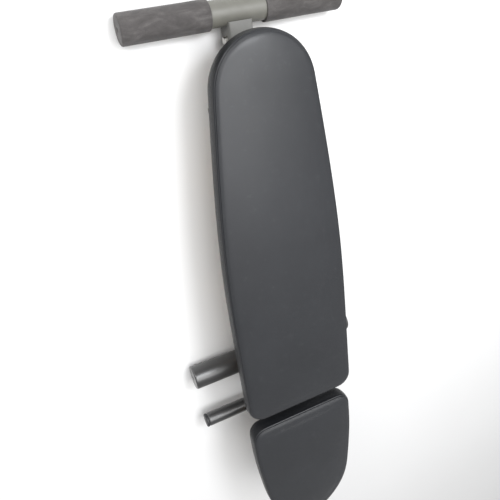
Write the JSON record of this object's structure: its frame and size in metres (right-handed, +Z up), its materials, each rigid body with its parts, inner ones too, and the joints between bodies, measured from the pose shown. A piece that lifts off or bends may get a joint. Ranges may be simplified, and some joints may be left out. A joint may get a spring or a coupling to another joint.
{
  "type": "decline sit up bench",
  "caption": "Folding decline sit up bench with a long tapered back pad, a rounded seat, ankle grips and a T shaped rear foot, lying folded on its feet.",
  "frame": {"origin": "on the floor under the middle of the bench, where its two cross feet stand", "axes": "+Y along the bench towards the head end, +X to the side of the lock pins, +Z up"},
  "size_m": [0.456, 1.3588, 0.2199],
  "materials": {
    "pad_vinyl": "charcoal upholstery vinyl, satin, fine grain",
    "pad_board": "plywood",
    "sleeve_rubber": "matt mottled charcoal foam rubber",
    "grip_rubber": "glossy black skinned foam",
    "bumper_rubber": "moulded rubber",
    "black_plastic": "moulded black plastic",
    "foot_paint": "olive grey powder coat",
    "frame_paint": "grey powder coat",
    "zinc_hardware": "zinc plated steel"
  },
  "bodies": {
    "root": {"back_board": "pad_board", "back_cross_tube_head": "frame_paint", "back_cross_tube_hip": "frame_paint", "back_cross_tube_middle": "frame_paint", "back_insert_nuts": "zinc_hardware", "back_pad": "pad_vinyl", "back_pad_bolts": "zinc_hardware", "back_tube_caps": "black_plastic", "beam_front_cap": "black_plastic", "fold_bumper": "bumper_rubber", "hinge_ear_left": "frame_paint", "hinge_ear_right": "frame_paint", "main_beam": "frame_paint", "pivot_bolt": "zinc_hardware", "pivot_nut": "zinc_hardware", "rear_foot_bolt": "zinc_hardware", "rear_foot_nut": "zinc_hardware", "rear_foot_stub": "frame_paint", "rear_foot_tube": "foot_paint", "rear_foot_washers": "zinc_hardware", "rear_sleeve_left": "sleeve_rubber", "rear_sleeve_right": "sleeve_rubber", "seat_board": "pad_board", "seat_cross_tube_front": "frame_paint", "seat_cross_tube_rear": "frame_paint", "seat_insert_nuts": "zinc_hardware", "seat_pad": "pad_vinyl", "seat_pad_bolts": "zinc_hardware", "seat_tube_caps": "black_plastic"},
    "leg": {"leg_outer": "frame_paint", "pivot_bush_left": "black_plastic", "pivot_bush_right": "black_plastic", "leg_mouth_collar": "black_plastic", "ankle_peg_left": "frame_paint", "ankle_peg_right": "frame_paint", "ankle_rings": "frame_paint", "ankle_cap_left": "black_plastic", "ankle_cap_right": "black_plastic", "fold_pin_bracket": "frame_paint", "fold_pin_barrel": "zinc_hardware", "height_pin_barrel": "zinc_hardware"},
    "inner_leg": {"leg_inner": "frame_paint", "leg_slide_plug": "black_plastic", "front_foot_tube": "foot_paint", "front_sleeve_left": "grip_rubber", "front_sleeve_right": "grip_rubber"},
    "ankle_roller_left": {"ankle_roller_left": "grip_rubber"},
    "ankle_roller_right": {"ankle_roller_right": "grip_rubber"},
    "fold_pin": {"fold_pin": "zinc_hardware", "fold_pin_knob": "black_plastic"},
    "height_pin": {"height_pin": "zinc_hardware", "height_pin_knob": "black_plastic"}
  },
  "joints": [
    {"name": "leg_fold", "type": "hinge", "parent": "root", "child": "leg", "pos_m": [0, -0.57344, 0.0558], "axis": [-1, 0, 0], "range_deg": [0, 100]},
    {"name": "leg_extend", "type": "slide", "parent": "leg", "child": "inner_leg", "axis": [0, 0.9978, -0.0663], "range_m": [0, 0.09]},
    {"name": "fold_pin_pull", "type": "slide", "parent": "leg", "child": "fold_pin", "axis": [1, 0, 0], "range_m": [-0.006, 0]},
    {"name": "height_pin_pull", "type": "slide", "parent": "leg", "child": "height_pin", "axis": [1, 0, 0], "range_m": [-0.006, 0]},
    {"name": "ankle_roller_left_spin", "type": "hinge", "parent": "leg", "child": "ankle_roller_left", "pos_m": [0, -0.33896, 0.04021], "axis": [1, 0, 0], "continuous": true},
    {"name": "ankle_roller_right_spin", "type": "hinge", "parent": "leg", "child": "ankle_roller_right", "pos_m": [0, -0.33896, 0.04021], "axis": [1, 0, 0], "continuous": true}
  ]
}
